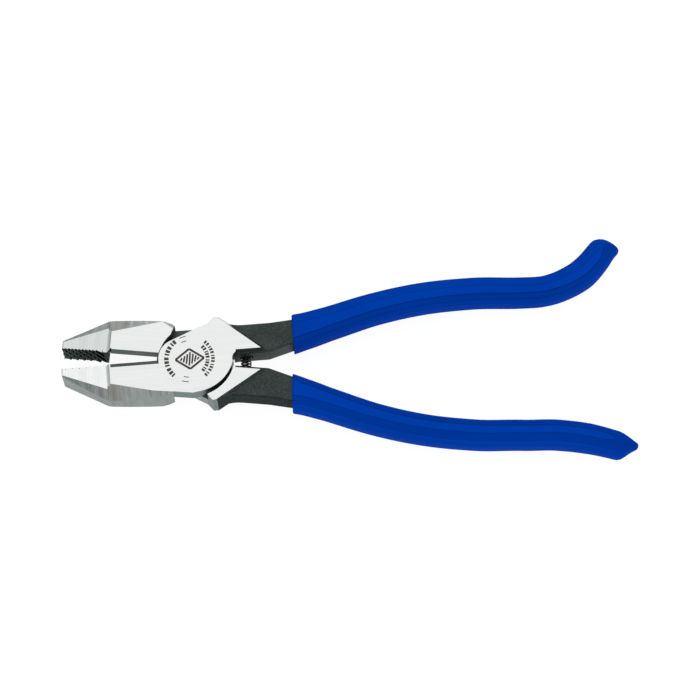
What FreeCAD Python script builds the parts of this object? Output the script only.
import FreeCAD, Part
import math
import os

V = FreeCAD.Vector

# Each half is drawn with the jaws closed, its jaw below the X axis and its handle above.
# Lengths in mm, angles in degrees. The pivot is the Z axis and z = 0 is the back face.
THICK = 16.0            # over the ground faces of the head
MID = THICK / 2
LAP_GAP = 0.04          # running gap between the two lap plates
REST_ANGLE = 9.3        # between the halves when the spring is relaxed

TIP_X = -48.4           # end of the nose
TIP_HALF = 3.9          # half width of the closed nose at its tip
NOSE_BASE_X = -28.6     # shoulder line between nose and cheek
NOSE_DROP = 0.75        # nose faces below the ground cheek faces
NOSE_BLEND = 2.0        # radius up to the cheek
TIP_SET = -0.03         # the tips meet first
BASE_SET = -0.30        # the tooth planes stand apart at the base

BLOCK_END = (-28.2, -29.9)      # inner end of the tooth block, at the tool's front and back
KNIFE_END = (-8.3, -10.3)       # other end of the knife gap, the same way

TOOTH_PITCH = 2.85
TOOTH_LEAN = 0.49       # shift along the jaw for each mm of thickness
TOOTH_DEPTH = 0.8
TOOTH_RUN = 2.55        # sloping side of a tooth
# Two sets of grooves: lean, first one at z = 0, then where all stop at z = 0 and at z = THICK.
FRONT_TEETH = ((TOOTH_LEAN, -31.95, -31.7, -29.4), (-TOOTH_LEAN, -28.05, -37.3, -37.3))
REAR_TEETH = ((TOOTH_LEAN, -31.95, -31.4, -30.7), (-TOOTH_LEAN, -26.95, -34.3, -34.3))

DISC_R = 8.3            # round end of the lap plate
RECESS_R = 8.6          # seat for it in the other jaw

RIVET_HEAD_R = 6.1
RIVET_SHANK_R = 4.75
RIVET_HEAD = 2.2        # straight part of the countersunk head
RIVET_CONE = 1.4
RIVET_FIT = 0.05        # radial clearance in the half that turns on it

TANG_DROP = 1.5         # tang faces below the ground faces
RAMP_RUN = 1.0          # slope from the ground face down to the tang
TANG_EDGE_R = 1.5
WEB_CENTRE = V(27.6, 33.33, 0)      # hollow curve from the head into the handle
WEB_RADIUS = 20.23
GRIP_FRONT_X = 47.8

SPRING_X = 28.0         # pocket centre along the handle
POCKET_R = 2.85
POCKET_DEPTH = 4.5
TANG_INNER_Y = 0.45
WIRE_R = 0.3
COIL_R = 2.0
COILS = 13
COIL_END_GAP = 0.1

# Handle stations: x, y of the centre line, slope, width and thickness of the grip.
HOOK_LINE = (
    (GRIP_FRONT_X, 8.8, 0.0, 15.0, 15.3),
    (52.5, 9.85, 11.0, 14.1, 15.0),
    (63.0, 12.35, 13.5, 13.0, 14.8),
    (83.0, 17.25, 11.0, 12.3, 14.6),
    (104.0, 20.2, 4.5, 12.1, 14.5),
    (124.0, 20.7, -0.5, 11.9, 14.5),
    (144.0, 19.35, -2.0, 11.7, 14.4),
    (154.0, 19.35, 7.5, 11.5, 14.4),
    (163.0, 22.0, 23.0, 12.3, 14.3),
    (171.2, 26.2, 38.0, 12.1, 14.0),
    (177.9, 32.9, 49.0, 11.5, 13.2),
)
PLAIN_LINE = (
    (GRIP_FRONT_X + 0.1, 9.0, -5.0, 14.9, 15.3),
    (52.5, 10.05, 11.0, 13.8, 15.0),
    (63.0, 12.55, 13.5, 12.7, 14.8),
    (83.0, 17.4, 11.0, 12.1, 14.6),
    (104.0, 20.3, 4.5, 11.8, 14.5),
    (124.0, 20.75, -0.5, 11.7, 14.5),
    (144.0, 19.2, -3.0, 11.6, 14.4),
    (158.0, 18.0, -0.5, 11.6, 14.4),
    (170.0, 18.4, 5.0, 11.5, 14.2),
    (181.0, 20.1, 11.0, 11.0, 13.2),
)
# Dipped ends: distance past the last station, side shift, width, thickness.
HOOK_END = ((0.0, 0.0, 11.5, 13.2), (3.6, -0.1, 10.7, 12.4), (6.0, -1.4, 9.0, 10.4), (7.3, -2.2, 5.4, 6.5))
PLAIN_END = ((0.0, 0.0, 11.0, 13.2), (4.2, 0.0, 10.0, 11.8), (8.2, -1.2, 4.2, 6.5), (10.2, -1.7, 1.6, 2.6))
GRIP_CORNER_R = 4.0
GRIP_WALL = 1.6
CORE_CORNER_R = 2.5


def outline(start, path, z):
    """Closed wire; each step is a line end (x, y) or an arc ((mid), (end))."""
    edges = []
    here = V(start[0], start[1], z)
    for step in path:
        if isinstance(step[0], tuple):
            mid = V(step[0][0], step[0][1], z)
            end = V(step[1][0], step[1][1], z)
            edges.append(Part.Arc(here, mid, end).toShape())
        else:
            end = V(step[0], step[1], z)
            edges.append(Part.makeLine(here, end))
        here = end
    return Part.Wire(edges)


def prism(start, path, z0, z1):
    """Plan outline made solid between two heights."""
    return Part.Face(outline(start, path, z0)).extrude(V(0, 0, z1 - z0))


def side_prism(points, y0, y1):
    """Side outline of (x, z) points made solid between two values of y."""
    corners = [V(x, y0, z) for x, z in points + points[:1]]
    return Part.Face(Part.makePolygon(corners)).extrude(V(0, y1 - y0, 0))


def slanted(ends, z):
    """x at height z of a wall that stands at ends[0] at z = 0 and at ends[1] at z = THICK."""
    return ends[0] + (ends[1] - ends[0]) * z / THICK


def beyond(p0, p1, p2):
    """Everything near the part on the (p1 - p0) x (p2 - p0) side of a plane."""
    along = (p1 - p0).normalize()
    normal = (p1 - p0).cross(p2 - p0).normalize()
    across = normal.cross(along)
    reach = 70.0
    corners = []
    for a, b in ((-1, -1), (1, -1), (1, 1), (-1, 1)):
        corners.append(p0 + along * (a * reach) + across * (b * reach))
    corners.append(corners[0])
    return Part.Face(Part.makePolygon(corners)).extrude(normal * 40.0)


def mirrored(point):
    """The same point measured from the other ground face."""
    return V(point.x, point.y, THICK - point.z)


def flipped(shape):
    """The same shape at the other ground face."""
    return shape.mirror(V(0, 0, MID), V(0, 0, 1))


def jaw_plan():
    """Jaw at full thickness, from the tip to the seat of the other half's lap plate."""
    seat = (
        (TIP_X, -TIP_HALF + 0.6),
        ((TIP_X + 0.15, -TIP_HALF + 0.15), (TIP_X + 0.7, -TIP_HALF - 0.3)),
        (-31.0, -14.4),
        ((-29.8, -14.9), (-28.4, -15.1)),
        ((-18.0, -15.45), (-7.4, -15.4)),
        ((-5.2, -15.2), (-3.6, -14.7)),
        (-3.0, -14.3),
        (-4.3, -9.9),
        ((-6.45, -6.9), (-7.77, -3.69)),
        ((-8.46, -1.54), (-RECESS_R, 0.0)),
        (BLOCK_END[0], 0.0),
        (BLOCK_END[0], BASE_SET),
        (TIP_X, TIP_SET),
    )
    return prism((TIP_X, TIP_SET), seat, -1.0, THICK + 1.0)


def jaw_side():
    """Side view of the jaw: nose faces set below the cheek faces and blended up to them."""
    rise = math.sqrt(2 * NOSE_BLEND * NOSE_DROP - NOSE_DROP ** 2)
    start_x = NOSE_BASE_X - rise
    half_x = NOSE_BASE_X - 0.47 * rise
    half_z = NOSE_BLEND - math.sqrt(NOSE_BLEND ** 2 - (0.53 * rise) ** 2)
    low = (
        (0.0, 0.0),
        (NOSE_BASE_X, 0.0),
        ((half_x, NOSE_DROP - half_z), (start_x, NOSE_DROP)),
        (TIP_X + 0.6, NOSE_DROP),
        ((TIP_X + 0.18, NOSE_DROP + 0.18), (TIP_X, NOSE_DROP + 0.6)),
    )
    high = (
        (TIP_X, THICK - NOSE_DROP - 0.6),
        ((TIP_X + 0.18, THICK - NOSE_DROP - 0.18), (TIP_X + 0.6, THICK - NOSE_DROP)),
        (start_x, THICK - NOSE_DROP),
        ((half_x, THICK - NOSE_DROP + half_z), (NOSE_BASE_X, THICK)),
        (0.0, THICK),
        (0.0, 0.0),
    )
    flat = Part.Face(outline(low[0], low[1:] + high, 0.0))
    flat.rotate(V(0, 0, 0), V(1, 0, 0), 90)
    return flat.extrude(V(0, -20, 0)).fuse(flat.extrude(V(0, 5, 0))).removeSplitter()


def outer_chamfers():
    """Planes that take the outer corners off the nose and the cheek, front and back."""
    top = THICK - NOSE_DROP
    cheek = (V(-28.5, -8.75, THICK), V(-28.5, -15.1, 12.0), V(-11.5, -13.0, THICK))
    back_cheek = (V(-28.5, -9.35, 0.0), V(-4.0, -16.5, 0.0), V(-28.5, -15.1, 4.0))
    nose = (V(-31.0, -10.3, top), V(-48.2, -3.3, top), V(-31.0, -14.4, 12.0))
    back_nose = [mirrored(nose[i]) for i in (0, 2, 1)]
    split = -29.9
    left = Part.makeBox(40, 60, 60, V(split - 40, -40, -20))
    right = Part.makeBox(40, 60, 60, V(split, -40, -20))
    corner = beyond(V(-8.5, -15.4, 0), V(-3.2, -12.4, 0), V(-3.0, -14.3, 1.8))
    return [
        beyond(*cheek).common(right),
        beyond(*back_cheek).common(right),
        beyond(*nose).common(left),
        beyond(*back_nose).common(left),
        corner.common(Part.makeBox(8.5, 20, 6, V(-8.5, -20, -1))),
    ]


def chamfer_run_out():
    """Narrow plane that carries the front chamfer on along the edge of the lap plate."""
    plane = beyond(V(-11.5, -13.0, THICK), V(-11.5, -15.42, 14.35), V(4.5, -15.2, THICK))
    return plane.common(Part.makeBox(24.4, 10, 6, V(-20.0, -20.0, 12.0)))


def knife_gap():
    """Space over the knife, as seen with the tool's front at z = 0.

    Two bevels lie in front of the edge and a hollow behind it. The end walls slant, and a
    shallow relief keeps the inner ones of the two jaws apart.
    """
    low, high = -1.0, THICK + 1.0
    profile = (
        (-3.3, low), (-0.85, 0.55), (-0.05, 1.0), (-1.0, 2.4), (-2.6, 5.0), (-4.3, 10.0),
        (-4.9, high), (1.0, high), (1.0, low), (-3.3, low),
    )
    gap = Part.Face(Part.makePolygon([V(-32.0, y, z) for y, z in profile])).extrude(V(25.0, 0, 0))
    block = ((slanted(BLOCK_END, low), low), (slanted(BLOCK_END, high), high))
    inner = ((slanted(KNIFE_END, high), high), (slanted(KNIFE_END, low), low))
    relief = side_prism(inner + ((inner[1][0], high),), BASE_SET, 1.0)
    return [gap.common(side_prism(block + inner, -6.0, 2.0)), relief]


def block_corner():
    """Slanted plane off the inner corner of the tooth block, on the z = 0 side."""
    plane = beyond(V(-30.1, BASE_SET, 0), V(-28.9, BASE_SET, 3.2), V(-28.8, -1.6, 0))
    return plane.common(Part.makeBox(3.2, 4.0, 6.0, V(-31.2, -3.0, -1.0)))


def tooth_grooves(teeth):
    """Crossed saw-shaped grooves that leave diamond teeth, with plain ridges at the inner end."""
    grooves = []
    low, high = -2.0, THICK + 2.0
    for lean, first, *ends in teeth:
        limit = side_prism((
            (TIP_X - 1, low), (slanted(ends, low), low),
            (slanted(ends, high), high), (TIP_X - 1, high),
        ), -2.0, 2.0)
        for i in range(10):
            x = first - i * TOOTH_PITCH
            level = BASE_SET + (TIP_SET - BASE_SET) * (x - BLOCK_END[0]) / (TIP_X - BLOCK_END[0])
            root = V(x + lean * low, level - TOOTH_DEPTH, low)
            wall = root + V(-0.2, 2 * TOOTH_DEPTH, 0)
            slope = root + V(2 * TOOTH_RUN, 2 * TOOTH_DEPTH, 0)
            groove = Part.Face(Part.makePolygon((root, slope, wall, root)))
            grooves.append(groove.extrude(V(lean, 0, 1) * (high - low)).common(limit))
    return [groove for groove in grooves if groove.Solids]


def lap_plate():
    """Half-thickness plate round the pivot, from the jaw across to the handle."""
    path = (
        ((-6.88, 4.64), (-3.15, 7.68)),
        (13.1, 14.28),
        (15.2, 16.3),
        ((15.95, 16.65), (16.75, 16.35)),
        (20.0, 12.0),
        (25.0, 6.0),
        (25.0, 1.15),
        (23.9, 1.15),
        ((22.75, 0.2), (22.25, -2.87)),
        ((16.9, -10.89), (9.1, -14.65)),
        (5.0, -15.3),
        (-3.0, -14.1),
        (-8.3, -12.0),
        (-DISC_R, 0.0),
    )
    return prism((-DISC_R, 0.0), path, MID + LAP_GAP / 2, THICK)


def shoulder():
    """Full-thickness end of the head, ground flat to a slanting line across the handle."""
    a = V(17.3, 16.2, THICK)
    b = V(35.0, 1.2, THICK)
    run = b - a
    out = V(-run.y, run.x, 0).normalize() * RAMP_RUN
    path = (
        ((19.35, 9.45), (13.46, 14.2)),
        (13.46, 14.65),
        (15.2, 16.3),
        ((15.95, 16.65), (16.75, 16.35)),
        (a.x + out.x * 0.6, a.y + out.y * 0.6),
        (b.x + out.x, b.y + out.y),
        (b.x, b.y),
        (22.95, 1.15),
    )
    block = prism((22.95, 1.15), path, 0.0, THICK)
    for z, down in ((THICK, -1), (0.0, 1)):
        base = V(a.x, a.y, z) - run * 0.2
        tri = (base, base + out * 1.5, base + out * 1.5 + V(0, 0, down * TANG_DROP * 1.5))
        block = block.cut(Part.Face(Part.makePolygon(tri + (base,))).extrude(run * 1.4))
    return block


def notch_chamfers():
    """Small chamfers on the edge of the ground faces over the notch between the handles."""
    profile = ((2.35, 16.4), (1.15, 15.3), (0.85, 15.3), (0.85, 16.4), (2.35, 16.4))
    front = Part.Face(Part.makePolygon([V(23.7, y, z) for y, z in profile])).extrude(V(13.0, 0, 0))
    return [front, flipped(front)]


def on_web(x):
    """Point at x on the hollow curve from the head into the handle."""
    return (x, WEB_CENTRE.y - math.sqrt(WEB_RADIUS ** 2 - (x - WEB_CENTRE.x) ** 2))


def web_rounds():
    """Ring cutters that round both edges of that curve."""
    high = THICK - TANG_DROP
    inner = WEB_RADIUS
    k = TANG_EDGE_R * (1 - math.sqrt(0.5))
    path = (
        ((inner + k, high - k), (inner + TANG_EDGE_R, high)),
        (inner + TANG_EDGE_R, high + 1.0),
        (inner - 1.0, high + 1.0),
        (inner - 1.0, high - TANG_EDGE_R),
        (inner, high - TANG_EDGE_R),
    )
    flat = Part.Face(outline((inner, high - TANG_EDGE_R), path, 0.0))
    flat.rotate(V(0, 0, 0), V(1, 0, 0), 90)
    ring = flat.revolve(V(0, 0, 0), V(0, 0, 1), 360)
    ring.translate(WEB_CENTRE)
    return [ring, flipped(ring)]


def tang():
    """Forged handle between the head and the grip, recessed below the ground faces."""
    low = TANG_DROP
    high = THICK - TANG_DROP
    inner = ((37.4, TANG_INNER_Y), (23.4, TANG_INNER_Y))
    path = ((38.5, 13.1), (50.0, 13.9), (50.0, 3.95)) + inner + ((23.4, 13.1),)
    bar = prism((23.4, 13.1), path, low, high)
    rims = []
    for edge in bar.Edges:
        c = edge.CenterOfMass
        if min(abs(c.z - low), abs(c.z - high)) < 0.01 and 23.6 < c.x < 49.9:
            rims.append(edge)
    bar = bar.makeFillet(TANG_EDGE_R, rims)
    web = ((on_web(20.6), on_web(27.6)), (27.6, 3.0), (23.6, 3.0), (18.6, 12.5), on_web(17.0))
    return bar.fuse(prism(on_web(17.0), web, low, high).cut(web_rounds()))


def section(x, y, slope, width, thick, corner):
    """Rounded rectangle square to the centre line at one station."""
    w = width / 2
    t = thick / 2
    r = min(corner, 0.8 * w, 0.8 * t)
    k = r * (1 - math.sqrt(0.5))
    path = (
        (w - r, -t), ((w - k, -t + k), (w, -t + r)),
        (w, t - r), ((w - k, t - k), (w - r, t)),
        (-w + r, t), ((-w + k, t - k), (-w, t - r)),
        (-w, -t + r), ((-w + k, -t + k), (-w + r, -t)),
    )
    wire = outline((-w + r, -t), path, 0.0)
    turn = FreeCAD.Rotation(V(0, 1, 0), V(0, 0, 1), V(1, 0, 0), "YZX")
    wire.Placement = FreeCAD.Placement(V(0, 0, 0), turn)
    wire.rotate(V(0, 0, 0), V(0, 0, 1), slope)
    wire.translate(V(x, y, MID))
    return wire


def core(stations):
    """Tapering steel of the handle inside the grip."""
    wires = [section(46.0, 8.2, 8.0, 8.6, 11.6, CORE_CORNER_R)]
    for x, y, slope, width, thick in stations[1:]:
        wires.append(section(x, y, slope, width - 2 * GRIP_WALL, thick - 2 * GRIP_WALL, CORE_CORNER_R))
    return Part.makeLoft(wires, True)


def grip_body(stations, end):
    """Dipped sleeve with a rounded section and a blunt, drip-shaped end."""
    wires = []
    for x, y, slope, width, thick in stations:
        wires.append(section(x, y, slope, width, thick, GRIP_CORNER_R))
    body = Part.makeLoft(wires, True)
    x, y, slope = stations[-1][:3]
    ahead = V(math.cos(math.radians(slope)), math.sin(math.radians(slope)), 0)
    aside = V(-ahead.y, ahead.x, 0)
    caps = []
    for reach, shift, width, thick in end:
        p = V(x, y, 0) + ahead * reach + aside * shift
        caps.append(section(p.x, p.y, slope, width, thick, GRIP_CORNER_R))
    return body.fuse(Part.makeLoft(caps, True, True)).removeSplitter()


def revolved(profile):
    """Solid of revolution about the pivot from (radius, z) points."""
    corners = [V(r, 0, z) for r, z in profile + (profile[0],)]
    return Part.Face(Part.makePolygon(corners)).revolve(V(0, 0, 0), V(0, 0, 1), 360)


def rivet(fit):
    """Rivet with countersunk heads ground flush on both faces."""
    head = RIVET_HEAD_R + fit
    shank = RIVET_SHANK_R + fit
    low = RIVET_HEAD + fit
    cone = low + RIVET_CONE
    return revolved((
        (0, -fit), (head, -fit), (head, low), (shank, cone),
        (shank, THICK - cone), (head, THICK - low), (head, THICK + fit), (0, THICK + fit),
    ))


def spring_pocket():
    """Blind hole for one end of the spring, square to the inner face of the tang."""
    return Part.makeCylinder(
        POCKET_R, POCKET_DEPTH + 1, V(SPRING_X, TANG_INNER_Y - 1, MID), V(0, 1, 0)
    )


def half(stations, rivet_fit, teeth, turned):
    """One forging: jaw, lap plate, shoulder and tang. Both knives meet near the tool's front."""
    gap = knife_gap()
    if not turned:
        gap = [flipped(shape) for shape in gap]
    jaw = jaw_plan().common(jaw_side())
    jaw = jaw.cut(outer_chamfers())
    jaw = jaw.cut(gap)
    jaw = jaw.cut(block_corner())
    jaw = jaw.cut(tooth_grooves(teeth))
    body = jaw.fuse([lap_plate(), shoulder(), tang(), core(stations)])
    body = body.cut([rivet(rivet_fit), spring_pocket(), chamfer_run_out()] + notch_chamfers())
    return body.removeSplitter()


def coil_spring():
    """Compression spring standing between the two pockets at rest."""
    lean = math.radians(REST_ANGLE / 2)
    reach = SPRING_X * math.sin(lean) + (TANG_INNER_Y + POCKET_DEPTH) * math.cos(lean)
    height = 2 * (reach - COIL_END_GAP - WIRE_R)
    path = Part.Wire(Part.makeHelix(height / COILS, height, COIL_R).Edges)
    ring = Part.Wire(Part.makeCircle(WIRE_R, V(COIL_R, 0, 0), V(0, 1, 0)))
    coil = path.makePipeShell([ring], True, True)
    coil.translate(V(0, 0, -height / 2))
    coil.rotate(V(0, 0, 0), V(1, 0, 0), 90)
    coil.translate(V(SPRING_X * math.cos(lean) - 0.2, 0, MID))
    return coil


def place_front(shape):
    """Front half: opened by half the rest angle."""
    shape.rotate(V(0, 0, 0), V(0, 0, 1), REST_ANGLE / 2)
    return shape


def place_rear(shape):
    """Rear half: turned over about the long axis, then opened the other way."""
    shape.rotate(V(0, 0, MID), V(1, 0, 0), 180)
    shape.rotate(V(0, 0, 0), V(0, 0, 1), -REST_ANGLE / 2)
    return shape


def save(name, shape):
    """One STEP file for one piece."""
    shape.exportStep(os.path.join("parts", name + ".step"))
    box = shape.optimalBoundingBox(False, False)
    print(name, shape.isValid(), len(shape.Solids), round(shape.Volume), box)


os.makedirs("parts", exist_ok=True)
front_half = half(HOOK_LINE, 0.0, FRONT_TEETH, False)
rear_half = half(PLAIN_LINE, RIVET_FIT, REAR_TEETH, True)
hook_grip = grip_body(HOOK_LINE, HOOK_END).cut(front_half)
plain_grip = grip_body(PLAIN_LINE, PLAIN_END).cut(rear_half)
save("hook_handle_half", place_front(front_half))
save("hook_handle_grip", place_front(hook_grip))
save("plain_handle_half", place_rear(rear_half))
save("plain_handle_grip", place_rear(plain_grip))
save("pivot_rivet", rivet(0.0))
save("return_spring", coil_spring())
